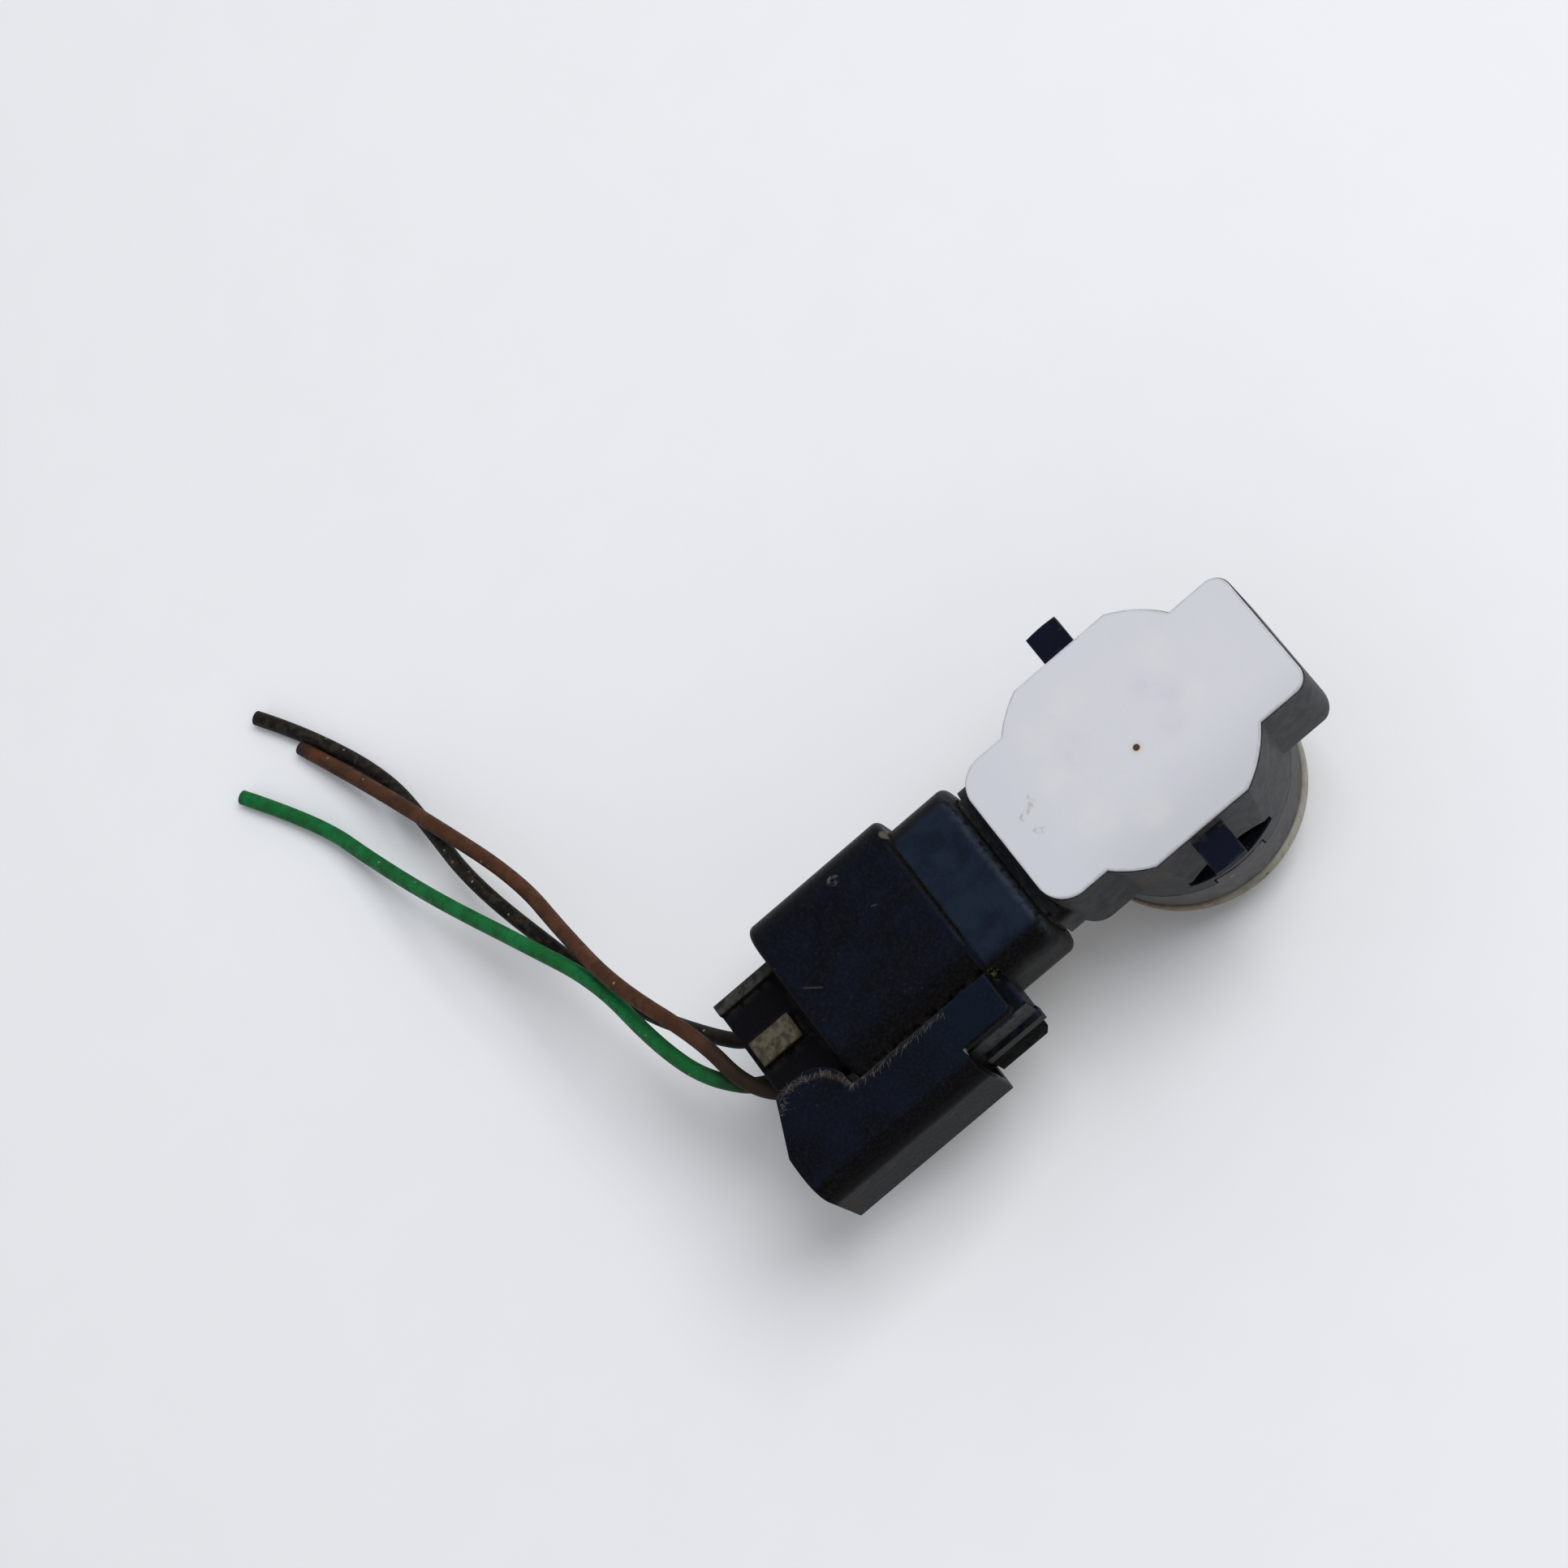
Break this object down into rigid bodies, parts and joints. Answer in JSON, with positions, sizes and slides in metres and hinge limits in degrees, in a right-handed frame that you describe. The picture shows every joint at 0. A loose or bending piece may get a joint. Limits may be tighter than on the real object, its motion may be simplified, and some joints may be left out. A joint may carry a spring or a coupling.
{
  "type": "ultrasonic parking sensor",
  "caption": "Bumper parking sensor with a round head, a potted back, and a latched plug with cut wires at its side.",
  "frame": {"origin": "centre of the membrane's outer face", "axes": "+Z along the sensor's axis from the membrane to the potted back, +X from the plug to the sensor, +Y away from the latch lever, towards the wires' cut ends"},
  "size_m": [0.0988, 0.0953, 0.026],
  "materials": {
    "housing_black": "satin moulded plastic",
    "potting_white": "cast compound, slightly stained",
    "ring_black": "satin moulded plastic",
    "silicone_pale": "pale translucent silicone",
    "cup_paint": "metallic brown paint over aluminium",
    "electrode": "silvered ceramic",
    "foam_grey": "soft foam",
    "compound_grey": "soft sealing compound",
    "tinned_copper": "tinned",
    "board_green": "solder mask",
    "ferrite": "matt",
    "enamelled_copper": "enamelled",
    "chip_black": "matt",
    "ceramic_tan": "matt with tinned ends",
    "can_aluminium": "plain",
    "pin_tin": "tinned",
    "plug_black": "satin moulded plastic, dusty in the corners",
    "lever_black": "satin moulded plastic with pale worn edges",
    "holder_black": "satin moulded plastic, dusty on top",
    "seal_rubber": "soft silicone",
    "terminal_tin": "tinned",
    "wire_black": "wire insulation with tan dirt",
    "wire_green": "wire insulation",
    "wire_brown": "wire insulation"
  },
  "bodies": {
    "sensor": {"sensor_housing": "housing_black", "potting": "potting_white", "retaining_ring": "ring_black", "decoupling_ring": "silicone_pale", "transducer_cup": "cup_paint", "piezo_disc": "electrode", "damping_foam": "foam_grey", "cup_seal": "compound_grey", "transducer_lead_a": "tinned_copper", "transducer_lead_b": "tinned_copper", "circuit_board": "board_green", "transformer_core": "ferrite", "transformer_winding": "enamelled_copper", "driver_chip": "chip_black", "ceramic_capacitors": "ceramic_tan", "storage_capacitor": "can_aluminium", "header_pin_upper": "pin_tin", "header_pin_middle": "pin_tin", "header_pin_lower": "pin_tin", "plug_housing": "plug_black", "rear_holder": "holder_black", "interface_seal": "seal_rubber", "wire_seal": "seal_rubber", "terminal_upper": "terminal_tin", "terminal_middle": "terminal_tin", "terminal_lower": "terminal_tin", "wire_black": "wire_black", "wire_green": "wire_green", "wire_brown": "wire_brown"},
    "lever": {"latch_lever": "lever_black"}
  },
  "joints": [
    {"name": "latch_press", "type": "hinge", "parent": "sensor", "child": "lever", "pos_m": [-0.0356, -0.0111, 0.01685], "axis": [0, 0, -1], "range_deg": [0, 4.5], "stiffness_Nm_per_rad": 1.2, "springref_deg": -5.73}
  ]
}
